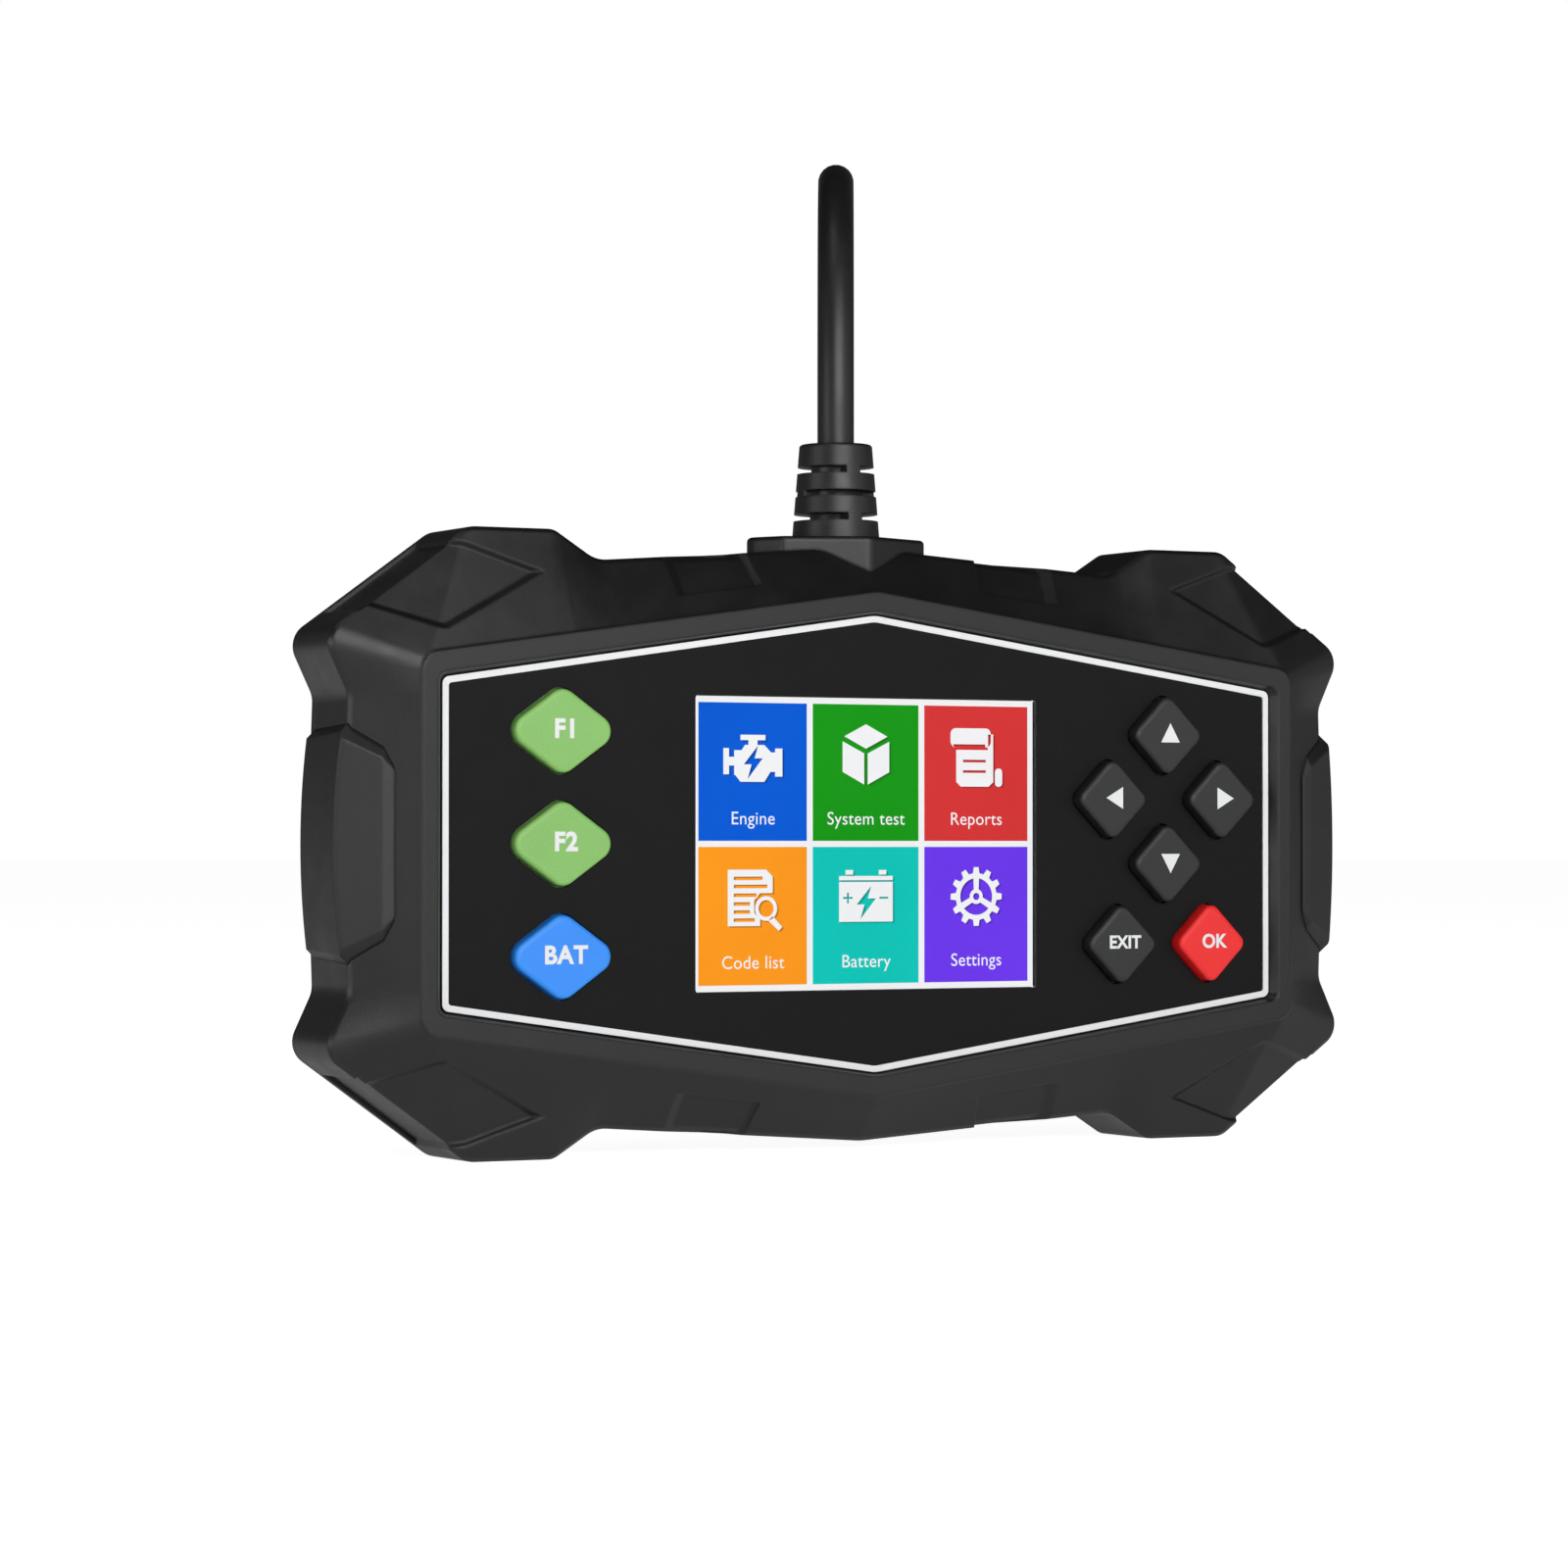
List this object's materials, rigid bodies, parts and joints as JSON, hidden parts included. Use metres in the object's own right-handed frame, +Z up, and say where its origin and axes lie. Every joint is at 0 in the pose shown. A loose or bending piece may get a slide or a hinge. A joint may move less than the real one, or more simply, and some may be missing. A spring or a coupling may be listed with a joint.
{
  "type": "handheld vehicle code reader",
  "caption": "Handheld vehicle fault-code reader: lobed case, colour display, nine sprung keys and a tied lead that ends in a sixteen-way diagnostic connector.",
  "frame": {"origin": "middle of the floor under the case, which stands upright on the flats of its two lower corner lobes", "axes": "+Z up along the case's height, -Y out of the screen towards the person reading it, +X to that person's right"},
  "size_m": [0.1728, 0.1579, 0.1544],
  "materials": {
    "shell_black": "fine-grained moulded ABS",
    "grip_rubber": "smooth soft-touch rubber",
    "panel_black": "satin black overlay",
    "trim_white": "glossy white line",
    "window_clear": "clear hard-coated acrylic",
    "lcd_dark": "display glass",
    "sheet_steel": "folded stainless sheet",
    "backlight_white": "diffuser stack",
    "flex_orange": "polyimide tail",
    "foam_black": "closed-cell foam",
    "key_green": "matte silicone",
    "key_blue": "matte silicone",
    "key_red": "matte silicone",
    "key_grey": "satin keycap",
    "silicone_clear": "translucent silicone",
    "dome_steel": "pressed spring steel",
    "board_green": "solder-masked laminate",
    "chip_black": "epoxy package",
    "can_metal": "drawn metal can",
    "can_alu": "aluminium can",
    "ferrite": "pressed ferrite",
    "nylon_white": "nylon housing",
    "wire_mixed": "insulated wire",
    "screw_zinc": "zinc-plated screw",
    "label_silver": "blank printed label",
    "lead_black": "soft PVC jacket",
    "strap_black": "hook-and-loop strap",
    "connector_black": "moulded nylon",
    "contact_block_grey": "glass-filled nylon",
    "contact_tin": "tin-plated brass"
  },
  "bodies": {
    "case": {"front_shell": "shell_black", "rear_shell": "shell_black", "grip_pad_left": "grip_rubber", "grip_pad_right": "grip_rubber", "front_panel": "panel_black", "panel_trim": "trim_white", "display_window": "window_clear", "display_glass": "lcd_dark", "display_frame": "sheet_steel", "display_backlight": "backlight_white", "display_flex": "flex_orange", "screen_gasket": "foam_black", "keypad_mat_left": "silicone_clear", "keypad_mat_right": "silicone_clear", "snap_domes": "dome_steel", "main_board": "board_green", "board_screws": "screw_zinc", "microcontroller": "chip_black", "flash_memory": "chip_black", "bus_transceivers": "chip_black", "crystal": "can_metal", "capacitors": "can_alu", "power_inductor": "ferrite", "voltage_regulator": "chip_black", "buzzer": "chip_black", "cable_header": "nylon_white", "cable_plug": "nylon_white", "inner_wires": "wire_mixed", "cable_clamp": "nylon_white", "cable_collar": "shell_black", "strain_relief": "lead_black", "rear_label": "label_silver", "case_screws": "screw_zinc", "lead": "lead_black", "lead_tail": "lead_black", "lead_coil": "lead_black", "coil_tie": "strap_black", "connector_cuff": "lead_black", "connector_body": "connector_black", "connector_nose": "connector_black", "contact_block": "contact_block_grey", "connector_contacts": "contact_tin"},
    "key_f1": {"key_f1": "key_green"},
    "key_f2": {"key_f2": "key_green"},
    "key_bat": {"key_bat": "key_blue"},
    "key_up": {"key_up": "key_grey"},
    "key_down": {"key_down": "key_grey"},
    "key_left": {"key_left": "key_grey"},
    "key_right": {"key_right": "key_grey"},
    "key_exit": {"key_exit": "key_grey"},
    "key_ok": {"key_ok": "key_red"}
  },
  "joints": [
    {"name": "key_f1_press", "type": "slide", "parent": "case", "child": "key_f1", "axis": [0, 1, 0], "range_m": [0, 0.0009], "stiffness_N_per_m": 900, "springref_m": -0.0012},
    {"name": "key_f2_press", "type": "slide", "parent": "case", "child": "key_f2", "axis": [0, 1, 0], "range_m": [0, 0.0009], "stiffness_N_per_m": 900, "springref_m": -0.0012},
    {"name": "key_bat_press", "type": "slide", "parent": "case", "child": "key_bat", "axis": [0, 1, 0], "range_m": [0, 0.0009], "stiffness_N_per_m": 900, "springref_m": -0.0012},
    {"name": "key_up_press", "type": "slide", "parent": "case", "child": "key_up", "axis": [0, 1, 0], "range_m": [0, 0.0009], "stiffness_N_per_m": 900, "springref_m": -0.0012},
    {"name": "key_down_press", "type": "slide", "parent": "case", "child": "key_down", "axis": [0, 1, 0], "range_m": [0, 0.0009], "stiffness_N_per_m": 900, "springref_m": -0.0012},
    {"name": "key_left_press", "type": "slide", "parent": "case", "child": "key_left", "axis": [0, 1, 0], "range_m": [0, 0.0009], "stiffness_N_per_m": 900, "springref_m": -0.0012},
    {"name": "key_right_press", "type": "slide", "parent": "case", "child": "key_right", "axis": [0, 1, 0], "range_m": [0, 0.0009], "stiffness_N_per_m": 900, "springref_m": -0.0012},
    {"name": "key_exit_press", "type": "slide", "parent": "case", "child": "key_exit", "axis": [0, 1, 0], "range_m": [0, 0.0009], "stiffness_N_per_m": 900, "springref_m": -0.0012},
    {"name": "key_ok_press", "type": "slide", "parent": "case", "child": "key_ok", "axis": [0, 1, 0], "range_m": [0, 0.0009], "stiffness_N_per_m": 900, "springref_m": -0.0012}
  ]
}
